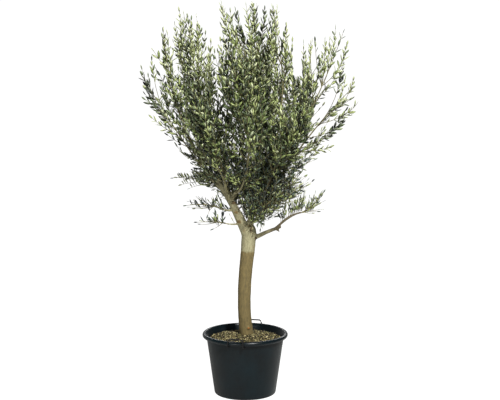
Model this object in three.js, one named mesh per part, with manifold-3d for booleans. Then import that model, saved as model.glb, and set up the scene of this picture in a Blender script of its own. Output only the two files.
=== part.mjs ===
// Potted olive tree, two metres tall: a round nursery pot with two wire handles, the potting mix that fills
// it, a leaning trunk that forks, tapering boughs, and one mass of foliage on the tip of each bough.
// Millimetres, +Z up. The origin is the centre of the pot's flat underside, and +X is the side of the long
// low bough.
import * as THREE from "three";
import { mergeVertices } from "three/addons/utils/BufferGeometryUtils.js";
import Module from "manifold-3d";

const wasm = await Module();
wasm.setup();

// ---------------------------------------------------------------- driving dimensions
const GAP = 0.3; // clearance between pieces that touch
const ROUND_SIDES = 36; // facets round the pot and the potting mix

const POT = {
  height: 315,
  footRadius: 158,
  wallTopRadius: 202,
  wall: 3,
  footRounding: 8,
  rimRadius: 220,
  rimDepth: 20,
  rimRounding: 11,
  rimInset: 9, // from the rim's outside to its inner lip
};
const SOIL = { belowRim: 40, crown: 27, trunkSeatRadius: 46 };
const HANDLE = {
  wireRadius: 3.5,
  sides: 6,
  footSpan: 78,
  topSpan: 67,
  aboveRim: 18,
  belowRim: 4, // between the rim's underside and the wire
  offRim: 1.5, // between the rim's outside and the wire
  insideWall: 13, // how far the wire's ends reach in from the wall's outer face
  turnDegrees: -12.5,
  bend: 9,
};
const TRUNK = {
  path: [[11, 15], [-2, 9], [-4, 5], [3, 2], [15, 0], [22, 0]], // lean in X and Y at even heights
  topHeight: 880,
  radius: 33.2,
  flare: 4,
  forkSwell: 6,
  belowCut: 30, // the bark line carries on below the ground before the flat cut
  sides: 16,
  rings: 11,
  crotch: [ // how the trunk closes between its boughs
    { share: 0.9, width: 1 },
    { share: 0.95, width: 0.93 },
    { share: 0.98, width: 0.72 },
    { share: 1, width: 0.35 },
  ],
};

// A limb leaves `from` at the share `at` of its length and ends at `tip`; `girth` is its radius at both
// ends, and `sag` bows it downwards by that share of its length.
const LIMBS = [
  { name: "left", from: "trunk", at: 0.87, tip: [-150, -26, 1108], girth: [30, 12], sag: -0.09 },
  { name: "middle", from: "trunk", at: 0.92, tip: [58, 22, 1130], girth: [21, 9], sag: 0.02 },
  { name: "low_right", from: "trunk", at: 0.855, tip: [183, -9, 866], girth: [13, 8], sag: -0.02 },
  { name: "low_right_outer", from: "low_right", at: 0.84, tip: [289, -15, 940], girth: [8, 5], sag: -0.1 },
  { name: "left_inner", from: "left", at: 0.54, tip: [10, -4, 1124], girth: [13, 7], sag: 0 },
  { name: "right", from: "middle", at: 0.34, tip: [180, 18, 1110], girth: [11, 6], sag: 0.1 },
  { name: "right_front", from: "middle", at: 0.42, tip: [128, -112, 1126], girth: [9, 5.5], sag: 0.1 },
  { name: "back", from: "middle", at: 0.5, tip: [62, 158, 1132], girth: [10, 5.5], sag: 0.12 },
  { name: "back_right", from: "middle", at: 0.66, tip: [182, 132, 1162], girth: [9, 5.5], sag: 0.08 },
  { name: "top_right", from: "middle", at: 0.8, tip: [134, -2, 1240], girth: [9, 5.5], sag: 0.08 },
  { name: "upper_right", from: "top_right", at: 0.4, tip: [222, -4, 1262], girth: [7, 5], sag: 0.12 },
  { name: "right_low", from: "right", at: 0.36, tip: [182, -48, 1034], girth: [7, 4.5], sag: 0.08 },
  { name: "low_front_right", from: "middle", at: 0.16, tip: [88, -78, 962], girth: [9, 5], sag: 0.06 },
  { name: "low_back", from: "middle", at: 0.22, tip: [70, 112, 984], girth: [9, 5], sag: 0.06 },
  { name: "front_left", from: "left", at: 0.64, tip: [-102, -132, 1118], girth: [10, 5.5], sag: 0.1 },
  { name: "back_left", from: "left", at: 0.6, tip: [-112, 138, 1116], girth: [10, 5.5], sag: 0.1 },
  { name: "front", from: "left_inner", at: 0.36, tip: [0, -142, 1130], girth: [9, 5.5], sag: 0.12 },
  { name: "left_top", from: "left", at: 0.86, tip: [-166, 22, 1200], girth: [9, 5.5], sag: 0.06 },
  { name: "low_back_left", from: "left", at: 0.42, tip: [-66, 108, 1030], girth: [8, 5], sag: 0.08 },
  { name: "left_low", from: "left", at: 0.7, tip: [-190, -62, 1140], girth: [8, 5], sag: 0.06 },
  { name: "low_left", from: "left", at: 0.4, tip: [-132, -40, 966], girth: [7, 4.5], sag: 0.1 },
  { name: "low_front_left", from: "left", at: 0.5, tip: [-84, -112, 1046], girth: [8, 5], sag: 0.1 },
  { name: "hanging_left", from: "left", at: 0.2, tip: [-100, -44, 888], girth: [6, 4], sag: 0.06 },
];

// A foliage mass grows from its bough's tip to `apex` and keeps within about `spread` of its own stem.
const MASSES = [
  { name: "left", apex: [-404, -40, 1838], spread: 136 },
  { name: "left_inner", apex: [-118, 0, 1968], spread: 122 },
  { name: "middle", apex: [34, 20, 1998], spread: 172 },
  { name: "low_right_outer", apex: [385, -20, 1040], spread: 50 },
  { name: "right", apex: [552, 30, 1578], spread: 128 },
  { name: "right_front", apex: [300, -330, 1464], spread: 150 },
  { name: "back", apex: [89, 340, 1788], spread: 188 },
  { name: "back_right", apex: [346, 240, 1792], spread: 132 },
  { name: "top_right", apex: [136, -10, 1958], spread: 104 },
  { name: "upper_right", apex: [488, 10, 1836], spread: 116 },
  { name: "right_low", apex: [262, -60, 1142], spread: 100 },
  { name: "low_front_right", apex: [225, -210, 1052], spread: 150 },
  { name: "low_back", apex: [150, 330, 1130], spread: 145 },
  { name: "front_left", apex: [-250, -320, 1545], spread: 142 },
  { name: "back_left", apex: [-343, 260, 1660], spread: 145 },
  { name: "front", apex: [-98, -250, 1806], spread: 172 },
  { name: "left_top", apex: [-284, 10, 1912], spread: 172 },
  { name: "low_back_left", apex: [-374, 200, 1093], spread: 72 },
  { name: "left_low", apex: [-511, -40, 1628], spread: 90 },
  { name: "low_left", apex: [-292, -50, 980], spread: 62 },
  { name: "low_front_left", apex: [-185, -280, 1300], spread: 95 },
  { name: "hanging_left", apex: [-237, -60, 896], spread: 46 },
];

// The rule that every mass grows by.
const GROWTH = {
  shoots: 14, // side shoots on the stem
  firstShoot: 0.1,
  lastShoot: 0.96,
  goldenAngle: 2.399963,
  lowAngle: 0.85, // between the stem and its lowest shoot, radians
  highAngle: 0.4, // and its highest
  lift: 0.16, // how far a shoot's tip turns up, as a share of its length
  shares: [1, 0.82, 0.66, 0.5], // lengths that are tried until the shoot keeps to its space
  stemFollow: 0.42, // how far the stem keeps its bough's direction
  margin: 0.07, // the band between two spaces, as a share of their widths
  limbClearance: 6,
};
const TWIG = { sides: 3, radii: [3.4, 4.2, 3.4], stemEnd: 3.8 };
const LEAF = {
  length: 168,
  width: 61,
  thickness: 3.6,
  angle: 0.52, // between a leaf and its twig, radians
  shares: [1, 0.8, 0.64, 0.5], // sizes that are tried until the leaf keeps to its space
  apart: 28, // the least distance between two leaves' blades
  stemPairs: 7,
};

const COLOURS = {
  pot: [0x24292d, 0.5],
  soil: [0x6b604a, 0.95],
  handle: [0x17191c, 0.45],
  trunk: [0x8c7f5a, 0.85],
  bough: [0x847a5e, 0.85],
  foliage: [0x68714f, 0.6],
};

// ---------------------------------------------------------------- solids
const vector = ([x, y, z]) => new THREE.Vector3(x, y, z);
const lerp = THREE.MathUtils.lerp;

function toSolid(geometry) {
  const bare = new THREE.BufferGeometry();
  const source = geometry.index ? geometry.toNonIndexed() : geometry;
  bare.setAttribute("position", source.getAttribute("position"));
  const merged = mergeVertices(bare, 1e-3);
  const mesh = new wasm.Mesh({
    numProp: 3,
    vertProperties: merged.attributes.position.array,
    triVerts: new Uint32Array(merged.index.array),
  });
  return new wasm.Manifold(mesh);
}

// The largest body of a solid, with any sealed hollow filled and any loose scrap dropped.
function mainBody(solid) {
  const bodies = solid.decompose();
  return bodies.reduce((best, body) => (body.volume() > best.volume() ? body : best));
}

function toGeometry(solid) {
  const { numProp, numVert, vertProperties, triVerts } = solid.getMesh();
  const points = new Float32Array(numVert * 3);
  for (let i = 0; i < numVert; i++) {
    points.set(vertProperties.subarray(i * numProp, i * numProp + 3), i * 3);
  }
  const geometry = new THREE.BufferGeometry();
  geometry.setAttribute("position", new THREE.BufferAttribute(points, 3));
  geometry.setIndex(new THREE.BufferAttribute(new Uint32Array(triVerts), 1));
  geometry.computeVertexNormals();
  return geometry;
}

// A closed tube whose rings sit on `points`, each with its own radius: a cylinder bent to that line.
function tube(points, radii, sides) {
  const last = points.length - 1;
  const geometry = new THREE.CylinderGeometry(1, 1, 1, sides, last);
  const tangents = points.map((_, i) =>
    new THREE.Vector3().subVectors(points[Math.min(i + 1, last)], points[Math.max(i - 1, 0)]).normalize(),
  );
  const normals = [new THREE.Vector3(0.36, 0.93, 0.08).cross(tangents[0]).normalize()];
  for (let i = 1; i <= last; i++) {
    const turn = new THREE.Quaternion().setFromUnitVectors(tangents[i - 1], tangents[i]);
    normals.push(normals[i - 1].clone().applyQuaternion(turn));
  }
  const position = geometry.getAttribute("position");
  for (let v = 0; v < position.count; v++) {
    const ring = Math.round((position.getY(v) + 0.5) * last);
    const binormal = new THREE.Vector3().crossVectors(normals[ring], tangents[ring]);
    const place = points[ring]
      .clone()
      .addScaledVector(normals[ring], position.getX(v) * radii[ring])
      .addScaledVector(binormal, position.getZ(v) * radii[ring]);
    position.setXYZ(v, place.x, place.y, place.z);
  }
  return geometry;
}

function material([color, roughness]) {
  return new THREE.MeshStandardMaterial({ color, roughness, metalness: 0 });
}

function addPiece(group, name, geometry, look) {
  const mesh = new THREE.Mesh(geometry, material(look));
  mesh.name = name;
  group.add(mesh);
}

// ---------------------------------------------------------------- pot, potting mix and handles
function wallRadius(height) {
  return lerp(POT.footRadius, POT.wallTopRadius, height / POT.height);
}

// The outline of the pot's half section: out along the foot, up the wall, round the rolled rim, down inside.
function potProfile() {
  const { height, footRadius, footRounding, wall, rimRadius, rimDepth, rimRounding, rimInset } = POT;
  const outline = new THREE.Path();
  const underRim = height - wall - rimRounding;
  const rollCentre = [rimRadius - rimRounding, height - rimRounding];
  outline.moveTo(0, 0);
  outline.lineTo(footRadius - footRounding, 0);
  outline.lineTo(wallRadius(footRounding), footRounding);
  outline.lineTo(wallRadius(underRim), underRim);
  outline.lineTo(rimRadius - rimInset - wall, height - 2 * wall);
  outline.lineTo(rimRadius - rimInset, height - rimDepth);
  outline.absarc(...rollCentre, rimRounding, -Math.PI / 3, Math.PI / 2, false);
  outline.lineTo(wallRadius(height) + 2, height);
  outline.lineTo(wallRadius(underRim) - wall, underRim);
  outline.lineTo(wallRadius(footRounding) - wall, footRounding);
  outline.lineTo(footRadius - footRounding - wall, wall);
  outline.lineTo(0, wall);
  return outline.getPoints(2);
}

// Where a handle's wire runs: in through the wall under the rim, out round the rim and up to a straight
// grip.
function handlePath() {
  const { wireRadius, footSpan, topSpan, aboveRim, belowRim, offRim, insideWall, bend } = HANDLE;
  const footHeight = POT.height - POT.rimDepth - wireRadius - belowRim;
  const outside = Math.sqrt(POT.rimRadius ** 2 - (footSpan / 2) ** 2) + wireRadius + offRim;
  const gripHeight = POT.height + aboveRim - wireRadius;
  const half = [
    [footSpan / 2, wallRadius(footHeight) - insideWall, footHeight],
    [footSpan / 2, outside, footHeight],
    [footSpan / 2, outside + 1, POT.height - 2],
    [topSpan / 2, outside, gripHeight],
  ].map(vector);
  const corners = [...half, ...half.map((p) => new THREE.Vector3(-p.x, p.y, p.z)).reverse()];
  const line = [corners[0]];
  for (let i = 1; i < corners.length - 1; i++) {
    const into = new THREE.Vector3().subVectors(corners[i - 1], corners[i]).setLength(bend);
    const out = new THREE.Vector3().subVectors(corners[i + 1], corners[i]).setLength(bend);
    const bendStart = corners[i].clone().add(into);
    const bendEnd = corners[i].clone().add(out);
    line.push(bendStart, bendEnd);
  }
  line.push(corners[corners.length - 1]);
  return line;
}

function addPotWithHandles(group) {
  const path = handlePath();
  const handle = tube(path, path.map(() => HANDLE.wireRadius), HANDLE.sides);
  const sleeve = tube(path, path.map(() => HANDLE.wireRadius + GAP), HANDLE.sides);
  let pot = toSolid(new THREE.LatheGeometry(potProfile(), ROUND_SIDES).rotateX(Math.PI / 2));
  const turns = { handle_front: HANDLE.turnDegrees + 180, handle_back: HANDLE.turnDegrees };
  for (const [name, degrees] of Object.entries(turns)) {
    const turn = THREE.MathUtils.degToRad(degrees);
    pot = pot.subtract(toSolid(sleeve.clone().rotateZ(turn)));
    addPiece(group, name, handle.clone().rotateZ(turn), COLOURS.handle);
  }
  addPiece(group, "pot", toGeometry(mainBody(pot)), COLOURS.pot);
}

// A plug of potting mix that fills the pot and rises to a low mound with a level seat for the trunk.
function addSoil(group) {
  const { height, footRadius, footRounding, wall } = POT;
  const edgeHeight = height - SOIL.belowRim;
  const inside = (level) => wallRadius(level) - wall - GAP;
  const profile = [
    [0, wall + GAP],
    [footRadius - footRounding - wall - GAP, wall + GAP],
    [inside(footRounding), footRounding + GAP],
    [inside(edgeHeight), edgeHeight],
  ];
  const moundSteps = 3;
  for (let i = 1; i < moundSteps; i++) {
    const share = i / moundSteps;
    const radius = lerp(inside(edgeHeight), SOIL.trunkSeatRadius, share);
    profile.push([radius, edgeHeight + SOIL.crown * Math.sin((share * Math.PI) / 2)]);
  }
  profile.push([SOIL.trunkSeatRadius, edgeHeight + SOIL.crown], [0, edgeHeight + SOIL.crown]);
  const points = profile.map(([x, y]) => new THREE.Vector2(x, y));
  addPiece(group, "soil", new THREE.LatheGeometry(points, ROUND_SIDES).rotateX(Math.PI / 2), COLOURS.soil);
}

// ---------------------------------------------------------------- trunk and boughs
const trunkFoot = POT.height - SOIL.belowRim + SOIL.crown + GAP;

// Every limb as {curve, line, radii}: its centreline, points on it and the radius at each point.
function trunkLimb() {
  const { path, topHeight, radius, flare, forkSwell, belowCut, rings, crotch } = TRUNK;
  const bottom = trunkFoot - belowCut;
  const heightAt = (i) => lerp(bottom, topHeight, i / (path.length - 1));
  const knots = path.map(([x, y], i) => new THREE.Vector3(x, y, heightAt(i)));
  const curve = new THREE.CatmullRomCurve3(knots);
  const even = Array.from({ length: rings + 1 }, (_, i) => (i / rings) * crotch[0].share);
  const stretch = even.map((share) => ({ share, width: 1 })).concat(crotch.slice(1));
  const line = stretch.map(({ share }) => curve.getPoint(share));
  const girth = (share) => radius + flare * (1 - share) ** 7 + forkSwell * share ** 3;
  const radii = stretch.map(({ share, width }) => width * girth(share));
  return { curve, line, radii };
}

function boughLimb({ from, at, tip, girth, sag }, limbs) {
  const rings = 6;
  const start = limbs.get(from).curve.getPoint(at);
  const end = vector(tip);
  const control = start.clone().lerp(end, 0.5);
  control.z -= 2 * sag * start.distanceTo(end);
  const curve = new THREE.QuadraticBezierCurve3(start, control, end);
  const line = curve.getPoints(rings);
  const radii = line.map((_, i) => lerp(girth[0], girth[1], (i / rings) ** 0.75));
  return { curve, line, radii };
}

function limbSkeleton() {
  const limbs = new Map([["trunk", trunkLimb()]]);
  for (const limb of LIMBS) limbs.set(limb.name, boughLimb(limb, limbs));
  return limbs;
}

function limbSides(name, radii) {
  if (name === "trunk") return TRUNK.sides;
  return radii[0] > 15 ? 10 : 6;
}

// The space round a limb that every other piece stays out of.
function limbSleeve(name, { line, radii }) {
  const last = line.length - 1;
  const past = line[last].clone().sub(line[last - 1]).setLength(GAP);
  const longer = [...line.slice(0, last), line[last].clone().add(past)];
  return toSolid(tube(longer, radii.map((r) => r + GAP), limbSides(name, radii)));
}

// Each limb is cut clear of the ones before it, so that it meets its parent's bark face to face.
function addLimbs(group, limbs) {
  const room = 4 * TRUNK.radius;
  const below = new THREE.BoxGeometry(room, room, room).translate(0, 0, trunkFoot - room / 2);
  const sleeves = [toSolid(below)];
  for (const [name, { line, radii }] of limbs) {
    const isTrunk = name === "trunk";
    let solid = toSolid(tube(line, radii, limbSides(name, radii)));
    for (const other of sleeves) solid = solid.subtract(other);
    sleeves.push(limbSleeve(name, { line, radii }));
    addPiece(
      group,
      isTrunk ? "trunk" : "bough_" + name,
      toGeometry(mainBody(solid)),
      isTrunk ? COLOURS.trunk : COLOURS.bough,
    );
  }
}

// ---------------------------------------------------------------- foliage
// A repeatable stream of numbers from 0 to 1.
function stream(seed) {
  let state = seed;
  return () => {
    state = (Math.imul(state, 1664525) + 1013904223) >>> 0;
    return state / 4294967296;
  };
}

// A mass's stem as points from its bough's tip to its apex, with the half width of its space at each; its
// wood stops a leaf short of the apex.
function massStem({ name, apex, spread }, limbs) {
  const steps = 12;
  const woodSteps = 4;
  const bough = limbs.get(name).line;
  const tip = bough[bough.length - 1];
  const onward = tip.clone().sub(bough[bough.length - 2]).normalize();
  const end = vector(apex);
  const control = tip.clone().addScaledVector(onward, GROWTH.stemFollow * tip.distanceTo(end));
  const curve = new THREE.QuadraticBezierCurve3(tip, control, end);
  const line = curve.getPoints(steps);
  const widthAt = (share) => spread * (lerp(0.6, 0.3, share) + 0.5 * Math.sin(Math.PI * share));
  const widths = line.map((_, i) => widthAt(i / steps));
  const woodShare = Math.max(0.5, 1 - (0.8 * LEAF.length) / curve.getLength());
  const wood = Array.from({ length: woodSteps + 1 }, (_, i) => curve.getPoint((woodShare * i) / woodSteps));
  return { line, widths, wood, woodShare };
}

// How far out a point lies in a mass's space: 0 on its stem, 1 on its surface.
function level(stem, point) {
  return Math.min(...stem.line.map((p, i) => p.distanceTo(point) / stem.widths[i]));
}

function clearOfLimbs(point, limbs, margin) {
  for (const { line, radii } of limbs.values()) {
    for (let i = 1; i < line.length; i++) {
      const segment = new THREE.Line3(line[i - 1], line[i]);
      const nearest = segment.closestPointToPoint(point, true, new THREE.Vector3());
      if (nearest.distanceTo(point) < Math.max(radii[i - 1], radii[i]) + margin) return false;
    }
  }
  return true;
}

// True where all the points lie in this mass's own space and off every limb.
function keepsToSpace(points, own, stems, limbs) {
  return points.every((point) => {
    const mine = level(own, point);
    const free = stems.every((stem) => stem === own || level(stem, point) > mine + GROWTH.margin);
    return mine < 1 && free && clearOfLimbs(point, limbs, GROWTH.limbClearance);
  });
}

// The point and the direction at a share of a line's length.
function along(line, share) {
  const place = share * (line.length - 1);
  const below = Math.min(Math.floor(place), line.length - 2);
  const point = line[below].clone().lerp(line[below + 1], place - below);
  const direction = line[below + 1].clone().sub(line[below]).normalize();
  return { point, direction };
}

// A direction that leans away from `direction` by `angle`, turned about it by `azimuth`.
function leaning(direction, angle, azimuth) {
  const side = direction.clone().cross(new THREE.Vector3(1, 0, 0)).normalize();
  const other = direction.clone().cross(side);
  return direction
    .clone()
    .multiplyScalar(Math.cos(angle))
    .addScaledVector(side, Math.sin(angle) * Math.cos(azimuth))
    .addScaledVector(other, Math.sin(angle) * Math.sin(azimuth));
}

// The side shoots of a mass, each as points on its centreline. Every shoot draws the same random numbers
// whether it is kept or skipped.
function massShoots(stem, seed, stems, limbs) {
  const random = stream(seed);
  const shoots = [];
  for (let i = 0; i < GROWTH.shoots; i++) {
    const share = lerp(GROWTH.firstShoot, GROWTH.lastShoot, (i + 0.8 * random()) / (GROWTH.shoots - 0.2));
    const angle = lerp(GROWTH.lowAngle, GROWTH.highAngle, share) + 0.3 * (random() - 0.5);
    const azimuth = i * GROWTH.goldenAngle + seed;
    const vigour = 0.85 + 0.4 * random();
    const { point, direction } = along(stem.wood, share);
    const heading = leaning(direction, angle, azimuth);
    const width = stem.widths[Math.round(share * stem.woodShare * (stem.line.length - 1))];
    const full = (vigour * width) / Math.sin(angle);
    for (const part of GROWTH.shares) {
      const length = full * part;
      const middle = point.clone().addScaledVector(heading, length / 2);
      const end = point.clone().addScaledVector(heading, length);
      end.z += GROWTH.lift * length;
      const line = new THREE.QuadraticBezierCurve3(point, middle, end).getPoints(2);
      const probes = [0.25, 0.5, 0.75, 1].map((s) => along(line, s).point);
      if (keepsToSpace(probes, stem, stems, limbs)) {
        shoots.push(line);
        break;
      }
    }
  }
  return shoots;
}

// A leaf spray: a flat eight-faced lozenge with its root at the origin and its length along +Y.
const leafBlank = new THREE.OctahedronGeometry(1, 0);
leafBlank.scale(LEAF.width / 2, LEAF.length / 2, LEAF.thickness / 2);
leafBlank.translate(0, LEAF.length / 2, 0);

function leafPlacement(root, heading, twigDirection, size) {
  const facing = twigDirection.clone().addScaledVector(heading, -twigDirection.dot(heading)).normalize();
  const across = new THREE.Vector3().crossVectors(heading, facing);
  const placement = new THREE.Matrix4().makeBasis(across, heading, facing);
  return placement.scale(new THREE.Vector3(size, size, size)).setPosition(root);
}

// Where leaves stand on a twig, as {point, heading, direction}: in pairs, each pair turned a quarter from
// the last, and one at the twig's end.
function leafSeats(line, first, pairs, turn) {
  const seats = [];
  for (let i = 0; i < pairs; i++) {
    const { point, direction } = along(line, lerp(first, 0.9, pairs > 1 ? i / (pairs - 1) : 0.5));
    for (const half of [0, Math.PI]) {
      const heading = leaning(direction, LEAF.angle, turn + (i * Math.PI) / 2 + half);
      seats.push({ point, heading, direction });
    }
  }
  const { point, direction } = along(line, 0.97);
  seats.push({ point, heading: direction, direction: leaning(direction, Math.PI / 2, turn) });
  return seats;
}

function leafProbes(placement) {
  const { length, width } = LEAF;
  const probes = [[0, 1], [0.5, 0.5], [-0.5, 0.5], [0, 0.5], [0, 0.75]];
  return probes.map(([x, y]) => new THREE.Vector3(x * width, y * length, 0).applyMatrix4(placement));
}

// The leaves that fit on a twig's seats, each at the largest size that keeps to the mass's space and off
// the leaves already `placed`.
function fittingLeaves(seats, placed, isFree) {
  const leaves = [];
  for (const { point, heading, direction } of seats) {
    for (const size of LEAF.shares) {
      const placement = leafPlacement(point, heading, direction, size);
      const probes = leafProbes(placement);
      const apart = probes.every((p) => placed.every((q) => p.distanceTo(q) > LEAF.apart));
      if (apart && isFree(probes)) {
        placed.push(...probes);
        leaves.push(placement);
        break;
      }
    }
  }
  return leaves;
}

// A mass as one solid: its stem, the side shoots that can carry a leaf, and their leaves.
function massSolid(mass, index, stems, limbs) {
  const stem = stems[index];
  const seed = 7919 * (index + 1);
  const girth = LIMBS.find((limb) => limb.name === mass.name).girth[1];
  const shoots = massShoots(stem, seed, stems, limbs);
  const isFree = (probes) => keepsToSpace(probes, stem, stems, limbs);
  const placed = [];
  const leaves = fittingLeaves(leafSeats(stem.wood, 0.15, LEAF.stemPairs, seed), placed, isFree);
  const stemRadii = stem.wood.map((_, i) => lerp(girth, TWIG.stemEnd, i / (stem.wood.length - 1)));
  let solid = toSolid(tube(stem.wood, stemRadii, TWIG.sides));
  shoots.forEach((line, i) => {
    const own = fittingLeaves(leafSeats(line, 0.6, 1, seed + i), placed, isFree);
    if (own.length) solid = solid.add(toSolid(tube(line, TWIG.radii, TWIG.sides)));
    leaves.push(...own);
  });
  for (const placement of leaves) solid = solid.add(toSolid(leafBlank.clone().applyMatrix4(placement)));
  return mainBody(solid.subtract(limbSleeve(mass.name, limbs.get(mass.name))));
}

function addFoliage(group, limbs) {
  const stems = MASSES.map((mass) => massStem(mass, limbs));
  MASSES.forEach((mass, index) => {
    const solid = massSolid(mass, index, stems, limbs);
    addPiece(group, "foliage_" + mass.name, toGeometry(solid), COLOURS.foliage);
  });
}

// ---------------------------------------------------------------- the whole tree
const tree = new THREE.Group();
tree.name = "potted_olive_tree";
const limbs = limbSkeleton();
addPotWithHandles(tree);
addSoil(tree);
addLimbs(tree, limbs);
addFoliage(tree, limbs);

export default tree;
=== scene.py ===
# %% [markdown]
# # A potted olive tree
# This lesson dresses a measured model of a nursery olive: a standard tree of about two metres in a black plastic
# pot with two wire handles. The measured model arrives as a fixed frame of plain solids. Each solid is then replaced
# by a piece with the relief, the leaves and the finish of the real thing, in the same place and at the same size.

# %% Load the frame and note its box
import math

import bpy
import numpy as np
from mathutils import Matrix, Vector


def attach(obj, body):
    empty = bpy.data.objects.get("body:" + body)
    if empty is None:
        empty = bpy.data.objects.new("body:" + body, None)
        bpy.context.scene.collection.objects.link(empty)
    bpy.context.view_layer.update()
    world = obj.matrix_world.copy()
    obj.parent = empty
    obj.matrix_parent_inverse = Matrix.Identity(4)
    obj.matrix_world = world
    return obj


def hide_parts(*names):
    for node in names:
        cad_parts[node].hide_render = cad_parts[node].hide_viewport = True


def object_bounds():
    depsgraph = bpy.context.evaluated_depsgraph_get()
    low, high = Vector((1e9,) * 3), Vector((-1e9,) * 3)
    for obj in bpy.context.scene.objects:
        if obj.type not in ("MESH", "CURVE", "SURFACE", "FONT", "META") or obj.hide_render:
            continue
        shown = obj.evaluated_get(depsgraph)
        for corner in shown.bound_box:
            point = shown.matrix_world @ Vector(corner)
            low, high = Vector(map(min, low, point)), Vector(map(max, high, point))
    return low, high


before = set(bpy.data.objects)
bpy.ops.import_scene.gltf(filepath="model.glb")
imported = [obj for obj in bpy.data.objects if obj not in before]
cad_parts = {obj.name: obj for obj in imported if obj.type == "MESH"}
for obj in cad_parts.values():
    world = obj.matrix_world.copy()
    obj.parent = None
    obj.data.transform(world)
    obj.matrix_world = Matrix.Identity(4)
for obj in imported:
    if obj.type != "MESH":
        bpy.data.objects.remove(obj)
cad_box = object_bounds()
print("frame:", len(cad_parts), "solids, top at", round(cad_box[1].z, 3), "m")

# %% [markdown]
# ## Small helpers
# Blender's operators act on whatever is selected, so every step starts from an empty selection. Colours are chosen
# as sRGB hex values, the way a paint chart gives them, and one function turns them into the linear values that the
# shader wants. Every pattern hangs on the object's own coordinates, so it stays put when the piece moves. Sizes are
# thought of in millimetres and become metres where a mesh is made.

# %% Helpers for selection, colour and nodes
MM = 0.001


def deselect():
    bpy.ops.object.select_all(action="DESELECT")


def pick(*objects):
    deselect()
    for thing in objects:
        thing.select_set(True)
    bpy.context.view_layer.objects.active = objects[-1]


def add_object(name, data):
    thing = bpy.data.objects.new(name, data)
    bpy.context.scene.collection.objects.link(thing)
    return thing


def linear(hex_colour):
    channels = [int(hex_colour[i : i + 2], 16) / 255 for i in (0, 2, 4)]
    return [c / 12.92 if c <= 0.04045 else ((c + 0.055) / 1.055) ** 2.4 for c in channels] + [1.0]


def link(material, source, socket):
    material.node_tree.links.new(source, socket)


def add_node(material, kind, settings=None, **links):
    """Adds a node; `settings` go on the node or its sockets, `links` name sockets and what feeds them."""
    node = material.node_tree.nodes.new(kind)
    for name, value in (settings or {}).items():
        if name in node.inputs:
            node.inputs[name].default_value = value
        else:
            setattr(node, name, value)
    for name, source in links.items():
        link(material, source, node.inputs[name])
    return node


def new_material(name, hex_colour, roughness, ior=1.5, specular=0.5):
    """A material with a Principled shader; returns the material and the shader."""
    material = bpy.data.materials.new(name)
    material.use_nodes = True
    shader = material.node_tree.nodes["Principled BSDF"]
    shader.inputs["Base Color"].default_value = linear(hex_colour)
    for socket, value in (("Roughness", roughness), ("IOR", ior), ("Specular IOR Level", specular)):
        shader.inputs[socket].default_value = value
    return material, shader


def own_place(material):
    """The object's own coordinates, in metres."""
    return add_node(material, "ShaderNodeTexCoord").outputs["Object"]


def noise(material, place, scale, detail, roughness=0.5):
    settings = {"Scale": scale, "Detail": detail, "Roughness": roughness}
    return add_node(material, "ShaderNodeTexNoise", settings, Vector=place).outputs["Fac"]


def between(material, value, low, high, at_low=0.0, at_high=1.0):
    """Runs from one number to another while the value runs from low to high."""
    settings = {"From Min": low, "From Max": high, "To Min": at_low, "To Max": at_high}
    return add_node(material, "ShaderNodeMapRange", settings, Value=value).outputs[0]


def times_plus(material, source, factor, addend):
    node = add_node(material, "ShaderNodeMath", {"operation": "MULTIPLY_ADD"})
    link(material, source, node.inputs[0])
    node.inputs[1].default_value = factor
    link(material, addend, node.inputs[2])
    return node.outputs[0]


def ramp(material, factor, stops):
    """Colours between stops of (position, hex colour)."""
    node = add_node(material, "ShaderNodeValToRGB", Fac=factor)
    elements = node.color_ramp.elements
    while len(elements) < len(stops):
        elements.new(0.5)
    for element, (position, hex_colour) in zip(elements, stops):
        element.position = position
        element.color = linear(hex_colour)
    return node.outputs["Color"]


def blend_colours(material, factor, first, second):
    node = add_node(material, "ShaderNodeMix", {"data_type": "RGBA"})
    for number, source in ((0, factor), (6, first), (7, second)):
        if hasattr(source, "node"):
            link(material, source, node.inputs[number])
        else:
            node.inputs[number].default_value = source
    return node.outputs[2]


def add_relief(material, shader, height, strength, distance):
    """Tilts the surface by a height pattern, as fine relief does; `distance` is in metres."""
    bump = add_node(material, "ShaderNodeBump", {"Strength": strength, "Distance": distance}, Height=height)
    link(material, bump.outputs["Normal"], shader.inputs["Normal"])


def clouds(name, width, depth):
    pattern = bpy.data.textures.new(name, "CLOUDS")
    pattern.noise_scale = width
    pattern.noise_depth = depth
    return pattern


def modify(piece, kind, **settings):
    """Adds a modifier with its settings and applies it."""
    change = piece.modifiers.new(kind.lower(), kind)
    for name, value in settings.items():
        setattr(change, name, value)
    pick(piece)
    bpy.context.view_layer.update()
    bpy.ops.object.modifier_apply(modifier=change.name)


def finish_piece(piece, nodes=()):
    """Puts a finished piece on the object's body and hides the solids it stands for."""
    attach(piece, "root")
    if nodes:
        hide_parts(*nodes)
    print(piece.name, "has", len(piece.data.polygons), "faces")


# %% [markdown]
# ## Camera, floor and light
# A tree of this height is pictured from a few metres away with the camera held at eye level, which shows a little
# of the pot's inside. The floor is a wide pale disc, so that it looks the same from every side. The light comes from
# high on the right in front, a lamp small enough for clear shadows. A long dim strip behind the tree draws the line
# of light along the pot's lip, a soft lamp low on the left lifts the shade there, and a white room fills in the rest.

# %% Camera
CAMERA = {"place": (0.025, -5.5, 1.68), "aim": (0.025, 0, 1.001), "lens": 78.6, "sensor": 36}
camera_data = bpy.data.cameras.new("camera")
camera_data.sensor_width = CAMERA["sensor"]
camera_data.lens = CAMERA["lens"]
camera = add_object("camera", camera_data)
camera.location = CAMERA["place"]
aim = Vector(CAMERA["aim"]) - camera.location
camera.rotation_euler = aim.to_track_quat("-Z", "Y").to_euler()
bpy.context.scene.camera = camera
bpy.context.scene.view_settings.view_transform = "Standard"
print("camera looks down by", round(math.degrees(math.asin(-aim.normalized().z)), 1), "degrees")

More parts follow.
